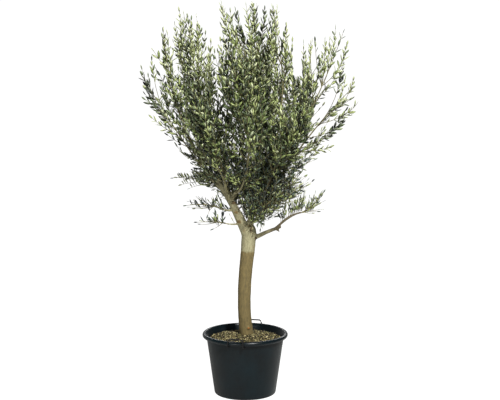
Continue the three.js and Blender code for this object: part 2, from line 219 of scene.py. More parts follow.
# %% Floor
FLOOR = {"radius": 60, "glow": 1.3, "glow_share": 0.8}
deselect()
bpy.ops.mesh.primitive_circle_add(vertices=96, radius=FLOOR["radius"], fill_type="NGON", location=(0, 0, 0))
floor = bpy.context.object
floor.name = "floor"
pale_floor, shader = new_material("pale studio floor", "c4c4c0", 0.9)
sight = add_node(pale_floor, "ShaderNodeLightPath").outputs["Is Camera Ray"]
glow = add_node(pale_floor, "ShaderNodeEmission", {"Strength": FLOOR["glow"]})
mixed = add_node(pale_floor, "ShaderNodeMixShader", Fac=between(pale_floor, sight, 0, 1, 0, FLOOR["glow_share"]))
link(pale_floor, shader.outputs[0], mixed.inputs[1])
link(pale_floor, glow.outputs[0], mixed.inputs[2])
link(pale_floor, mixed.outputs[0], pale_floor.node_tree.nodes["Material Output"].inputs["Surface"])
floor.data.materials.append(pale_floor)
print("floor reaches", FLOOR["radius"], "m")

# %% Lights
LAMPS = [
    # name, place, what it is aimed at, width and height in metres, watts
    ("key_softbox", (1.9, -4.6, 5.4), (0, 0, 1.1), 0.6, 0.6, 880),
    ("lip_strip", (0.1, 3.4, 1.9), (0, 0, 0.3), 3.0, 0.4, 30),
    ("low_fill", (-2.4, -4.4, 1.0), (0, 0, 0.95), 1.4, 1.4, 84),
]
ROOM = {"as light": 0.17, "as seen": 1.05}
for name, place, target, wide, tall, watts in LAMPS:
    lamp = bpy.data.lights.new(name, "AREA")
    lamp.shape = "RECTANGLE"
    lamp.size = wide
    lamp.size_y = tall
    lamp.energy = watts
    holder = add_object(name, lamp)
    holder.location = place
    holder.rotation_euler = (Vector(target) - Vector(place)).to_track_quat("-Z", "Y").to_euler()
room = bpy.data.worlds.new("white room")
room.use_nodes = True
air = room.node_tree.nodes["Background"]
air.inputs["Color"].default_value = (1, 1, 1, 1)
sight = add_node(room, "ShaderNodeLightPath").outputs["Is Camera Ray"]
link(room, between(room, sight, 0, 1, ROOM["as light"], ROOM["as seen"]), air.inputs["Strength"])
bpy.context.scene.world = room

# %% [markdown]
# ## The pot
# The pot is injection-moulded polypropylene: one thin wall that widens upwards, with a rolled lip that stiffens the
# mouth. By hand it starts as a circle at the foot, and the ring is extruded and scaled again and again up the wall,
# round the lip and down the inside. A lathe curve would do the same, but extruding rings keeps every radius and
# height in sight.

# %% Extrude the pot ring by ring
# all sizes in millimetres
POT = {"height": 315, "foot": 158, "top": 202, "wall": 3, "rounding": 8}
POT |= {"lip": 220, "lip_inset": 9, "lip_depth": 20, "roll": 11}
ROUND = 128  # sides of everything that is round


def wall_radius(height):
    return POT["foot"] + (POT["top"] - POT["foot"]) * height / POT["height"]


def pot_rings():
    """Radius and height of each ring, from the middle of the foot over the lip to the inside."""
    top, foot, wall, bend, roll = (POT[key] for key in ("height", "foot", "wall", "rounding", "roll"))
    under_lip = top - wall - roll
    skirt, skirt_height = POT["lip"] - POT["lip_inset"], top - POT["lip_depth"]
    rings = [(foot - bend, 0)]
    for turn in (30, 60, 90):
        a = math.radians(turn)
        rings.append((wall_radius(bend) - bend + bend * math.sin(a), bend - bend * math.cos(a)))
    rings += [(wall_radius(h), h) for h in (30, 70, 120, 170, 220, 260, 285, under_lip - 5)]
    rings += [(wall_radius(under_lip) + 3, under_lip + 3), (skirt - 5, top - 8), (skirt - 2.4, top - 11)]
    rings += [(skirt - 2.4, skirt_height + 1), (skirt - 1, skirt_height)]
    for turn in (-62, -42, -20, 0, 20, 40, 60, 78, 90):
        a = math.radians(turn)
        rings.append((POT["lip"] - roll + roll * math.cos(a), top - roll + roll * math.sin(a)))
    rings += [(206, top), (203, top - 1.5), (200.5, top - 6)]
    rings += [(wall_radius(h) - wall, h) for h in (under_lip - 4, 270, 200, 100, 30, 10)]
    return rings + [(foot - 12, wall + 1), (foot - 16, wall)]


def lathe_by_hand(name, rings, sides):
    deselect()
    radius, height = rings[0]
    spot = (0, 0, height * MM)
    bpy.ops.mesh.primitive_circle_add(vertices=sides, radius=radius * MM, fill_type="NOTHING", location=spot)
    piece = bpy.context.object
    piece.name = name
    bpy.ops.object.transform_apply(location=True, rotation=True, scale=True)
    bpy.ops.object.mode_set(mode="EDIT")
    bpy.ops.mesh.select_all(action="SELECT")
    bpy.ops.mesh.edge_face_add()
    for wide, high in rings[1:]:
        bpy.ops.mesh.extrude_region_move(TRANSFORM_OT_translate={"value": (0, 0, (high - height) * MM)})
        bpy.ops.transform.resize(value=(wide / radius, wide / radius, 1), center_override=(0, 0, high * MM))
        radius, height = wide, high
    bpy.ops.mesh.select_all(action="SELECT")
    bpy.ops.mesh.normals_make_consistent(inside=False)
    bpy.ops.object.mode_set(mode="OBJECT")
    return piece


pot = lathe_by_hand("nursery_pot", pot_rings(), ROUND)
pick(pot)
bpy.ops.object.shade_smooth_by_angle(angle=math.radians(40))
print("pot top at", round(max(v.co.z for v in pot.data.vertices), 4), "m, faces", len(pot.data.polygons))

# %% [markdown]
# The finish is matt black polypropylene, straight from a sand-blasted mould: a very fine even grain breaks up the
# gloss. Nursery dust lies on it as a thin film, darker and lighter in soft patches, with a trace of sheen at its
# edges. The rolled lip is left smooth by the mould and by hands, so it is glossier than the wall. The grain is finer
# than a pixel, so it is drawn about 1.5 mm wide. Polypropylene's IOR is 1.49.

# %% Moulded polypropylene
GLOSS = {"from": 0.296, "to": 0.304, "wall": 0.5, "lip": 0.27}  # heights in metres, then roughness
pot_plastic, shader = new_material("matt black moulded polypropylene", "0a1114", GLOSS["wall"], 1.49, 0.2)
shader.inputs["Sheen Weight"].default_value = 0.06
shader.inputs["Sheen Roughness"].default_value = 0.4
place = own_place(pot_plastic)
film = ramp(pot_plastic, noise(pot_plastic, place, 9, 5, 0.6), [(0.35, "03090c"), (0.75, "041318")])
link(pot_plastic, film, shader.inputs["Base Color"])
height = add_node(pot_plastic, "ShaderNodeSeparateXYZ", Vector=place).outputs["Z"]
link(pot_plastic, between(pot_plastic, height, *GLOSS.values()), shader.inputs["Roughness"])
add_relief(pot_plastic, shader, noise(pot_plastic, place, 650, 2), 0.12, 0.0004)
pot.data.materials.append(pot_plastic)
finish_piece(pot, ["pot"])

# %% [markdown]
# ## The wire handles
# Each handle is one length of 7 mm steel wire with a black coating. Its two ends are pushed through the wall just
# under the lip, and it stands up round the lip as a low square bail. It is drawn as a curve with rounded corners
# that is given its thickness and then turned into a mesh, which is how wire is easiest to bend on screen.

# %% Bend the handles
# millimetres, and degrees for the turn round the pot; `wire` is the wire's radius
HANDLE = {"wire": 3.5, "foot_span": 78, "top_span": 67, "above_lip": 18, "below_lip": 4, "off_lip": 1.5}
HANDLE |= {"inside": 13, "bend": 9, "turn": -12.5}


def handle_corners():
    wire, x, top_x = HANDLE["wire"], HANDLE["foot_span"] / 2, HANDLE["top_span"] / 2
    foot = POT["height"] - POT["lip_depth"] - wire - HANDLE["below_lip"]
    outside = math.sqrt(POT["lip"] ** 2 - x**2) + wire + HANDLE["off_lip"]
    half = [(x, wall_radius(foot) - HANDLE["inside"], foot), (x, outside, foot)]
    half += [(x, outside + 1, POT["height"] - 2), (top_x, outside, POT["height"] + HANDLE["above_lip"] - wire)]
    return np.array(half + [(-x, y, z) for x, y, z in reversed(half)])


def rounded(corners, bend, steps):
    """The same line with each inner corner turned into a short arc."""
    line = [corners[0]]
    for before, corner, after in zip(corners, corners[1:], corners[2:]):
        start = corner + (before - corner) / np.linalg.norm(before - corner) * bend
        end = corner + (after - corner) / np.linalg.norm(after - corner) * bend
        for t in np.linspace(0, 1, steps + 1):
            line.append((1 - t) ** 2 * start + 2 * t * (1 - t) * corner + t**2 * end)
    return np.array(line + [corners[-1]])


def curve_to_mesh(name, lines, sides):
    """Turns lines of (x, y, z, radius) in millimetres into one mesh of closed tubes."""
    shape = bpy.data.curves.new(name, "CURVE")
    shape.dimensions = "3D"
    shape.bevel_depth = MM
    shape.bevel_resolution = sides // 4
    shape.use_fill_caps = True
    for line in lines:
        spline = shape.splines.new("POLY")
        spline.points.add(len(line) - 1)
        for point, (x, y, z, radius) in zip(spline.points, line):
            point.co = (x * MM, y * MM, z * MM, 1)
            point.radius = radius
    pick(add_object(name, shape))
    bpy.ops.object.convert(target="MESH")
    return bpy.context.object


coated_wire, shader = new_material("black dip-coated steel wire", "050606", 0.6, 1.5, 0.25)
add_relief(coated_wire, shader, noise(coated_wire, own_place(coated_wire), 160, 2), 0.25, 0.0005)
for node_name, degrees in (("handle_front", HANDLE["turn"] + 180), ("handle_back", HANDLE["turn"])):
    wire = rounded(handle_corners(), HANDLE["bend"], 6)
    turn = math.radians(degrees)
    x = wire[:, 0] * math.cos(turn) - wire[:, 1] * math.sin(turn)
    y = wire[:, 0] * math.sin(turn) + wire[:, 1] * math.cos(turn)
    line = np.column_stack([x, y, wire[:, 2], np.full(len(wire), HANDLE["wire"])])
    handle = curve_to_mesh("wire_" + node_name, [line], 12)
    bpy.ops.object.shade_smooth_by_angle(angle=math.radians(50))
    handle.data.materials.append(coated_wire)
    finish_piece(handle, [node_name])

# %% [markdown]
# ## How the tree grows
# The tree follows the same rule as the measured model, so its limbs and stems fall in the same places. A limb leaves
# its parent at a share of the parent's length and runs to its tip on a gentle arc. Each limb's tip carries a stem,
# and round every stem lies a space of its own, wide in the middle and narrow at the ends, that the foliage stays in.

# %% Named sizes of the limbs and of the foliage, in millimetres
TRUNK = {"path": [[11, 15], [-2, 9], [-4, 5], [3, 2], [15, 0], [22, 0]], "foot": 302.3, "below": 30, "top": 880}
TRUNK |= {"radius": 33.2, "flare": 4, "fork_swell": 6}
LIMBS = [
    # name, parent, share of the parent, tip, radius at both ends, sag
    ("left", "trunk", 0.87, (-150, -26, 1108), (30, 12), -0.09),
    ("middle", "trunk", 0.92, (58, 22, 1130), (21, 9), 0.02),
    ("low_right", "trunk", 0.855, (183, -9, 866), (13, 8), -0.02),
    ("low_right_outer", "low_right", 0.84, (289, -15, 940), (8, 5), -0.1),
    ("left_inner", "left", 0.54, (10, -4, 1124), (13, 7), 0.0),
    ("right", "middle", 0.34, (180, 18, 1110), (11, 6), 0.1),
    ("right_front", "middle", 0.42, (128, -112, 1126), (9, 5.5), 0.1),
    ("back", "middle", 0.5, (62, 158, 1132), (10, 5.5), 0.12),
    ("back_right", "middle", 0.66, (182, 132, 1162), (9, 5.5), 0.08),
    ("top_right", "middle", 0.8, (134, -2, 1240), (9, 5.5), 0.08),
    ("upper_right", "top_right", 0.4, (222, -4, 1262), (7, 5), 0.12),
    ("right_low", "right", 0.36, (182, -48, 1034), (7, 4.5), 0.08),
    ("low_front_right", "middle", 0.16, (88, -78, 962), (9, 5), 0.06),
    ("low_back", "middle", 0.22, (70, 112, 984), (9, 5), 0.06),
    ("front_left", "left", 0.64, (-102, -132, 1118), (10, 5.5), 0.1),
    ("back_left", "left", 0.6, (-112, 138, 1116), (10, 5.5), 0.1),
    ("front", "left_inner", 0.36, (0, -142, 1130), (9, 5.5), 0.12),
    ("left_top", "left", 0.86, (-166, 22, 1200), (9, 5.5), 0.06),
    ("low_back_left", "left", 0.42, (-66, 108, 1030), (8, 5), 0.08),
    ("left_low", "left", 0.7, (-190, -62, 1140), (8, 5), 0.06),
    ("low_left", "left", 0.4, (-132, -40, 966), (7, 4.5), 0.1),
    ("low_front_left", "left", 0.5, (-84, -112, 1046), (8, 5), 0.1),
    ("hanging_left", "left", 0.2, (-100, -44, 888), (6, 4), 0.06),
]
MASS_COLUMNS = ("name", "apex", "spread", "keep", "slim", "buds")
MASS_ROWS = [
    # name of the limb, apex of the stem, half width of the space, share of the twigs kept, how far out the twigs
    # may reach in the space, how thickly the limb buds
    ("left", (-404, -40, 1838), 136, 0.85, 0.85, 1),
    ("left_inner", (-118, 0, 1968), 122, 0.7, 1, 1.8),
    ("middle", (34, 20, 1998), 172, 0.7, 1, 1.8),
    ("low_right_outer", (385, -20, 1040), 50, 0.65, 0.8, 0.9),
    ("right", (552, 30, 1578), 128, 0.4, 1, 1),
    ("right_front", (300, -330, 1464), 150, 1, 1, 1),
    ("back", (89, 340, 1788), 188, 0.85, 1, 1),
    ("back_right", (346, 240, 1792), 132, 0.75, 1, 1),
    ("top_right", (136, -10, 1958), 104, 0.55, 1, 1),
    ("upper_right", (488, 10, 1836), 116, 0.58, 1, 1),
    ("right_low", (262, -60, 1142), 100, 0.5, 1, 1.8),
    ("low_front_right", (225, -210, 1052), 150, 0.7, 1, 1.8),
    ("low_back", (150, 330, 1130), 145, 0.5, 1, 1.8),
    ("front_left", (-250, -320, 1545), 142, 1, 1, 1),
    ("back_left", (-343, 260, 1660), 145, 1, 1, 1),
    ("front", (-98, -250, 1806), 172, 0.85, 1, 1),
    ("left_top", (-284, 10, 1912), 172, 0.42, 1, 1),
    ("low_back_left", (-374, 200, 1093), 72, 0.6, 0.8, 0.7),
    ("left_low", (-511, -40, 1628), 90, 0.6, 1, 1),
    ("low_left", (-292, -50, 980), 62, 0.3, 0.5, 0.7),
    ("low_front_left", (-185, -280, 1300), 95, 0.35, 1, 1),
    ("hanging_left", (-237, -60, 896), 46, 0.25, 0.5, 0.15),
]
MASSES = [dict(zip(MASS_COLUMNS, row)) for row in MASS_ROWS]
# level sprays whose leaves stand upright
COMBS = ("low_left", "hanging_left", "low_right_outer", "low_back_left")
print(len(LIMBS), "boughs and", len(MASSES), "masses of foliage")

# %% [markdown]
# ### Centrelines
# The trunk's line passes smoothly through a few knots at even heights, and each bough is a simple arc with one
# control point. Both are worked out as arrays of points, because the leaves will need thousands of such arcs.

# %% Centrelines of the trunk and the boughs


def unit(v):
    return v / np.linalg.norm(v, axis=-1, keepdims=True)


def lerp(a, b, t):
    return a + (b - a) * t


def arc(start, control, end, steps):
    """Points on a quadratic arc; start, control and end may be whole arrays of arcs."""
    t = np.linspace(0, 1, steps + 1)[:, None]
    start, control, end = (np.asarray(p, float)[..., None, :] for p in (start, control, end))
    return (1 - t) ** 2 * start + 2 * t * (1 - t) * control + t**2 * end


def through_knots(knots, share):
    """The point at a share of a smooth curve through the knots, whose speed evens out by the root of each gap."""
    last = len(knots) - 1
    below = min(int(share * last), last - 1)
    part = share * last - below
    p1, p2 = knots[below], knots[below + 1]
    p0 = knots[below - 1] if below else 2 * p1 - p2
    p3 = knots[below + 2] if below + 2 <= last else 2 * p2 - p1
    d0, d1, d2 = (math.sqrt(np.linalg.norm(b - a)) for a, b in ((p0, p1), (p1, p2), (p2, p3)))
    t1 = ((p1 - p0) / d0 - (p2 - p0) / (d0 + d1) + (p2 - p1) / d1) * d1
    t2 = ((p2 - p1) / d1 - (p3 - p1) / (d1 + d2) + (p3 - p2) / d2) * d1
    return p1 + t1 * part + (3 * (p2 - p1) - 2 * t1 - t2) * part**2 + (2 * (p1 - p2) + t1 + t2) * part**3


def trunk_curve(share):
    heights = np.linspace(TRUNK["foot"] - TRUNK["below"], TRUNK["top"], len(TRUNK["path"]))
    knots = np.column_stack([np.array(TRUNK["path"], float), heights])
    return through_knots(knots, share)


def trunk_radius(share):
    return TRUNK["radius"] + TRUNK["flare"] * (1 - share) ** 7 + TRUNK["fork_swell"] * share**3


def bough_arc(start, tip, sag):
    control = (start + tip) / 2
    control[2] -= 2 * sag * np.linalg.norm(tip - start)
    return start, control, tip


def taper(girth, steps):
    """Radii along a limb, from its root to its tip."""
    return np.array([lerp(*girth, (i / steps) ** 0.75) for i in range(steps + 1)])


arcs = {}
shares = np.linspace(0, 0.97, 14)
skeleton = {"trunk": ([trunk_curve(s) for s in shares], [trunk_radius(s) for s in shares])}
for name, parent, share, tip, girth, sag in LIMBS:
    start = trunk_curve(share) if parent == "trunk" else arc(*arcs[parent], 1000)[round(share * 1000)]
    arcs[name] = bough_arc(start, np.array(tip, float), sag)
    skeleton[name] = (arc(*arcs[name], 6), taper(girth, 6))
print("longest bough:", max(arcs, key=lambda name: np.linalg.norm(arcs[name][2] - arcs[name][0])))

# %% [markdown]
# ## Bark
# The trunk and boughs are one skin of bark, so the forks flow into each other as they do on a living tree. Tubes are
# laid along the centrelines, with small swellings where branches were pruned, and a voxel remesh melts them into one
# closed mesh. Olive bark at this age is smooth with shallow upright furrows, and it is lumpy round the forks. That
# relief is pushed into the mesh itself with Displace modifiers, whose cloud patterns are stretched along the trunk.

# %% Lay tubes along the limbs
SUNK = 5  # how far the bark reaches into the mix, in millimetres
# how the trunk closes at the fork: share of its line and of its width
CROTCH = [(0.95, 0.93), (0.965, 0.84), (0.98, 0.7), (0.99, 0.5), (1.0, 0.3)]
SPUR = [(158, -8, 854, 8), (168, -9, 846, 5), (177, -10, 838, 3)]  # a cut spur: place and radius
bottom = TRUNK["foot"] - TRUNK["below"]
foot_share = (TRUNK["foot"] - SUNK - bottom) / (TRUNK["top"] - TRUNK["foot"] + TRUNK["below"])
rings = [(share, 1) for share in lerp(foot_share, 0.93, np.linspace(0, 1, 60))] + CROTCH
lines = [np.array([[*trunk_curve(share), trunk_radius(share) * width] for share, width in rings])]
lines += [np.column_stack([arc(*arcs[limb[0]], 24), taper(limb[4], 24)]) for limb in LIMBS]
bark = curve_to_mesh("bark", lines + [np.array(SPUR)], 24)
print("limbs as", len(bark.data.polygons), "faces before they are melted together")

# %% Add pruning knots and melt everything into one skin
# centre, radii across, through and up, in millimetres
KNOTS = [
    ((17, -20, 342), (9, 8, 8)),
    ((-22, -10, 430), (9, 9, 14)),
    ((24, -12, 560), (8, 9, 13)),
    ((-8, 27, 610), (12, 9, 15)),
    ((26, -20, 838), (14, 12, 24)),
    ((-2, -26, 870), (13, 10, 15)),
    ((-34, -24, 930), (13, 10, 19)),
    ((-54, -26, 985), (11, 9, 14)),
    ((-76, -14, 1040), (10, 8, 11)),
]
lumps = [bark]
for centre, radii in KNOTS:
    deselect()
    bpy.ops.mesh.primitive_uv_sphere_add(segments=24, ring_count=14, radius=1)
    lump = bpy.context.object
    lump.data.transform(Matrix.Translation(Vector(centre) * MM) @ Matrix.Diagonal((*(Vector(radii) * MM), 1)))
    lumps.append(lump)
pick(*lumps[1:], bark)
bpy.ops.object.join()
modify(bark, "REMESH", mode="VOXEL", voxel_size=0.0034)
modify(bark, "SMOOTH", iterations=5)
print("one skin of", len(bark.data.polygons), "faces")

# %% Push the relief into the skin
# name, width of the pattern, how far it is stretched upwards, depth; all in metres but the stretch
RELIEF = [("lumps", 0.055, 1.6, 0.0036), ("furrows", 0.012, 4.0, 0.0011), ("flakes", 0.006, 1.5, 0.0008)]
for name, width, stretch, depth in RELIEF:
    stretcher = add_object("stretch_" + name, None)
    stretcher.scale = (1, 1, stretch)
    modify(bark, "DISPLACE", texture=clouds(name, width, 2), texture_coords="OBJECT",
           texture_coords_object=stretcher, strength=depth, mid_level=0.5)
    bpy.data.objects.remove(stretcher)
bpy.ops.object.shade_smooth()
print("bark relief up to", sum(row[3] for row in RELIEF) / 2 / MM, "mm deep")

# %% [markdown]
# Young olive bark is smooth and tan on the trunk, with a breath of green algae, and pale grey above, where the bark
# is younger. The change is a soft ragged line about 740 mm up. Old pruning scars and the hollows round the forks are
# dark brown. Bark isn't glossy, so the roughness is high, and fine upright streaks run through the colour.

# %% Olive bark
bark_finish, shader = new_material("olive bark", "80724f", 0.86, 1.45)
place = own_place(bark_finish)
axes = add_node(bark_finish, "ShaderNodeSeparateXYZ", Vector=place)
stretched = add_node(bark_finish, "ShaderNodeMapping", {"Scale": (1, 1, 0.3)}, Vector=place).outputs["Vector"]
streaks = noise(bark_finish, stretched, 120, 5, 0.6)
patches = noise(bark_finish, place, 24, 4, 0.6)
tan_bark = ramp(bark_finish, streaks, [(0.3, "4e4429"), (0.5, "5c502f"), (0.72, "695b36")])
grey_bark = ramp(bark_finish, streaks, [(0.28, "706b50"), (0.5, "807b5e"), (0.72, "8f8b6c")])
stained = ramp(bark_finish, patches, [(0.56, "000000"), (0.7, "ffffff")])
mottled = blend_colours(bark_finish, stained, grey_bark, linear("76684a"))
edge = times_plus(bark_finish, noise(bark_finish, place, 34, 3), 0.05, axes.outputs["Z"])
skin_colour = blend_colours(bark_finish, between(bark_finish, edge, 0.757, 0.773), tan_bark, mottled)
add_relief(bark_finish, shader, times_plus(bark_finish, streaks, 0.7, patches), 0.4, 0.0015)
print("streaks and patches in", bark_finish.name)

# %% Darken the scars, and paint shade on the far end of the low bough
# centre and half widths in millimetres, colour
SCARS = [
    ((18, -28, 342), (5, 12, 5), "7d4f1c"),
    ((30, -26, 852), (7, 18, 20), "42331c"),
    ((55, -16, 806), (6, 20, 12), "43341f"),
    ((20, -30, 872), (10, 18, 8), "5e5030"),
    ((-6, -34, 846), (6, 18, 7), "75694a"),
    ((-32, -30, 892), (14, 20, 9), "5d4a2a"),
    ((-44, -36, 942), (9, 20, 7), "6c5a36"),
    ((-56, -36, 990), (12, 22, 8), "54442a"),
    ((-18, 36, 600), (9, 16, 10), "55462c"),
]
for centre, half, scar_colour in SCARS:
    settings = {"Scale": [1 / (h * MM) for h in half], "Location": [-c / h for c, h in zip(centre, half)]}
    local = add_node(bark_finish, "ShaderNodeMapping", settings, Vector=place)
    reach = add_node(bark_finish, "ShaderNodeVectorMath", {"operation": "LENGTH"})
    link(bark_finish, local.outputs["Vector"], reach.inputs[0])
    uneven = times_plus(bark_finish, patches, 2.4, reach.outputs["Value"])
    inside = between(bark_finish, uneven, 2.5, 1.8)
    skin_colour = blend_colours(bark_finish, inside, skin_colour, linear(scar_colour))
# painted shade: bark more than 70 to 150 mm out to the right, chiefly the far end of the low bough, is darkened
# towards 3d3422 as the shadow the foliage casts on it
outside = between(bark_finish, axes.outputs["X"], 0.07, 0.15, 0, 0.85)
skin_colour = blend_colours(bark_finish, outside, skin_colour, linear("3d3422"))
link(bark_finish, skin_colour, shader.inputs["Base Color"])
bark.data.materials.append(bark_finish)
finish_piece(bark, ["trunk"] + ["bough_" + limb[0] for limb in LIMBS])

# %% [markdown]
# ## Potting mix
# The pot is filled to about four centimetres below the lip with composted bark and fibre, heaped a little round the
# trunk. One disc gives the mound, subdivided and roughened, and thousands of loose chips lie on it. The chips are
# worked out as one array of bent flakes, because placing thousands of objects one by one would take minutes.

# %% Heap the mound
SOIL = {"edge": 275, "crown": 27, "seat": 46, "radius": 192.2, "gap": 3.5}  # millimetres
# metres, but millimetres in the last two
CRUMBS = {"width": 0.013, "height": 0.011, "lowest": 0.272, "outermost": 187, "fade": 12}


def mound_height(radius):
    share = np.clip((SOIL["radius"] - radius) / (SOIL["radius"] - SOIL["seat"]), 0, 1)
    return SOIL["edge"] + SOIL["crown"] * np.sin(share * math.pi / 2)


soil_rings = [(150, 6)] + [(wall_radius(h) - SOIL["gap"], h) for h in (60, 200, 268)]
soil_rings += [(r, float(mound_height(r))) for r in np.linspace(188, 3, 44)]
soil = lathe_by_hand("potting_mix", soil_rings, ROUND)
bpy.ops.object.mode_set(mode="EDIT")
bpy.ops.mesh.select_all(action="SELECT")
bpy.ops.mesh.remove_doubles(threshold=0.0001)
bpy.ops.object.mode_set(mode="OBJECT")
top_only = soil.vertex_groups.new(name="top")
for v in soil.data.vertices:
    inward = CRUMBS["outermost"] - math.hypot(v.co.x, v.co.y) / MM
    if v.co.z > CRUMBS["lowest"] and inward > 0:
        top_only.add([v.index], min(1.0, inward / CRUMBS["fade"]), "REPLACE")
modify(soil, "DISPLACE", texture=clouds("crumbs", CRUMBS["width"], 3), texture_coords="LOCAL", direction="Z",
       strength=CRUMBS["height"], mid_level=0.45, vertex_group="top")
bpy.ops.object.shade_smooth_by_angle(angle=math.radians(60))
soil.vertex_groups.clear()
print("mound rises to", round(max(v.co.z for v in soil.data.vertices) / MM), "mm")

# %% Composted bark
mix_finish, shader = new_material("moist composted bark", "4c4330", 0.95, 1.4)
fibres = noise(mix_finish, own_place(mix_finish), 130, 6, 0.75)
mix_colour = ramp(mix_finish, fibres, [(0.32, "100d08"), (0.5, "322a1b"), (0.68, "5a5031")])
link(mix_finish, mix_colour, shader.inputs["Base Color"])
add_relief(mix_finish, shader, fibres, 0.9, 0.004)
soil.data.materials.append(mix_finish)
finish_piece(soil, ["soil"])

# %% Scatter chips


def mesh_piece(name, points, triangles, materials, indices):
    """One mesh from an array of points in millimetres and an array of triangles."""
    mesh = bpy.data.meshes.new(name)
    mesh.vertices.add(len(points))
    mesh.vertices.foreach_set("co", (points * MM).astype(np.float32).ravel())
    mesh.loops.add(len(triangles) * 3)
    mesh.loops.foreach_set("vertex_index", triangles.astype(np.int32).ravel())
    mesh.polygons.add(len(triangles))
    mesh.polygons.foreach_set("loop_start", np.arange(0, len(triangles) * 3, 3, dtype=np.int32))
    for material in materials:
        mesh.materials.append(material)
    mesh.polygons.foreach_set("material_index", np.asarray(indices, np.int32))
    mesh.update(calc_edges=True)
    mesh.validate()
    return add_object(name, mesh)


def frames_of(heading, facing):
    """Right-handed axes (across, along, up) for many directions at once."""
    along = unit(heading)
    up = unit(facing - along * np.sum(facing * along, axis=1, keepdims=True))
    return np.stack([np.cross(along, up), along, up], axis=1)


def stamp(blank, triangles, places, axes, sizes):
    """Copies of a blank shape at many places, as one array of points and one of triangles."""
    local = blank[None, :, :] * sizes[:, None, :]
    points = places[:, None, :] + np.einsum("nki,nij->nkj", local, axes)
    faces = triangles[None, :, :] + (np.arange(len(places)) * len(blank))[:, None, None]
    return points.reshape(-1, 3), faces.reshape(-1, 3)


FLAKE = np.array([[-0.5, -0.5, 0], [0.5, -0.4, 0.1], [-0.42, 0.5, 0.12], [0.5, 0.5, 0],
                  [-0.4, -0.4, 1], [0.4, -0.5, 1.1], [-0.5, 0.42, 0.9], [0.42, 0.5, 1]])
FLAKE_FACES = np.array([[0, 3, 1], [0, 2, 3], [4, 5, 7], [4, 7, 6], [0, 1, 5], [0, 5, 4],
                        [1, 3, 7], [1, 7, 5], [3, 2, 6], [3, 6, 7], [2, 0, 4], [2, 4, 6]])
CHIPS = 8500
BED = (30, 184)  # inner and outer radius of the bed of chips, in millimetres
CHIP_RANGES = ((2, 5), (4, 13), (0.8, 2.2))  # width, length and thickness of a chip, in millimetres
CHIP_TONES = [
    # tone, colour, share of the chips
    ("dark", "16130b", 0.34), ("brown", "3a311c", 0.24), ("tan", "645733", 0.16),
    ("straw", "b6aa7b", 0.13), ("mossy", "5e5c33", 0.13),
]
rng = np.random.default_rng(31)
reach = np.sqrt(rng.uniform((BED[0] / BED[1]) ** 2, 1, CHIPS)) * BED[1]
turn = rng.uniform(0, 2 * math.pi, CHIPS)
heights = mound_height(reach) + rng.uniform(-2, 3.5, CHIPS)
beds = np.column_stack([reach * np.cos(turn), reach * np.sin(turn), heights])
lay = rng.normal(0, 1, (CHIPS, 3)) * [1, 1, 0.35]
chip_sizes = np.column_stack([rng.uniform(low, high, CHIPS) for low, high in CHIP_RANGES])
chip_sizes[::12] *= [0.9, 2.2, 0.8]  # now and then a long splinter
tilted = rng.normal(0, 0.45, (CHIPS, 3)) + [0, 0, 1]
points, faces = stamp(FLAKE, FLAKE_FACES, beds, frames_of(lay, tilted), chip_sizes)
chip_finishes = [new_material("bark chip " + tone, shade, 0.9, 1.4)[0] for tone, shade, _ in CHIP_TONES]
kinds = np.repeat(rng.choice(5, CHIPS, p=[row[2] for row in CHIP_TONES]), len(FLAKE_FACES))
chips = mesh_piece("bark_chips", points, faces, chip_finishes, kinds)
finish_piece(chips)

# %% [markdown]
# ## Twigs
# Every mass of foliage starts with its stem, and the stem carries the same side shoots as the measured model, drawn
# from the same seeded stream of numbers. Then the rule is carried on: more shoots fill the spaces between, and every
# shoot carries fine twigs that turn upwards, as olive whips do. A twig that would leave its mass's space, or touch a
# limb, is tried shorter and then left out. Growers thin a crown to let light through and rub the buds off round its
# fork, so some gaps stay open as well. They are laid along the camera's lines of sight, so they show best from there.

# %% The space of each mass
GROWTH = {"shoots": 14, "first": 0.1, "last": 0.96, "golden": 2.399963, "low": 0.85, "high": 0.4, "lift": 0.16}
SHARES = (1, 0.82, 0.66, 0.5)
MODEL_LEAF = 168  # length of the measured model's leaves
OUTSIDE_BOX = 22  # how far a leaf may stand out of the measured box
THROUGH, IN_FRONT = 999, 5  # how far back a gap stays open
GAPS = [
    # both ends of the gap's line, each across and up, and the room kept open beside it
    (125, 884, 160, 892, 19), (350, 1410, 462, 1536, 15), (421, 1642, 421, 1616, 20),
    (286, 1281, 296, 1281, 17), (335, 1337, 362, 1345, 11), (262, 1810, 263, 1655, 18),
    (345, 1750, 350, 1670, 12), (-140, 1745, -140, 1680, 6), (-369, 1256, -299, 1169, 24),
    (-341, 1036, -158, 1037, 11), (329, 1174, 395, 1129, 20), (-452, 1600, -440, 1530, 14),
    (505, 1560, 520, 1540, 14),
]


def length_of(line):
    return np.linalg.norm(np.diff(line, axis=0), axis=1).sum()


def mass_stem(mass):
    line, _ = skeleton[mass["name"]]
    tip, end = line[-1], np.array(mass["apex"], float)
    curve = (tip, tip + unit(tip - line[-2]) * 0.42 * np.linalg.norm(end - tip), end)
    i = np.arange(13)
    widths = mass["spread"] * (lerp(0.6, 0.3, i / 12) + 0.5 * np.sin(math.pi * i / 12))
    wood_share = max(0.5, 1 - 0.8 * MODEL_LEAF / length_of(arc(*curve, 200)))
    wood = arc(*curve, 1000)[[round(1000 * wood_share * k / 4) for k in range(5)]]
    return {"line": arc(*curve, 12), "widths": widths, "wood": wood, "wood_share": wood_share, "curve": curve}


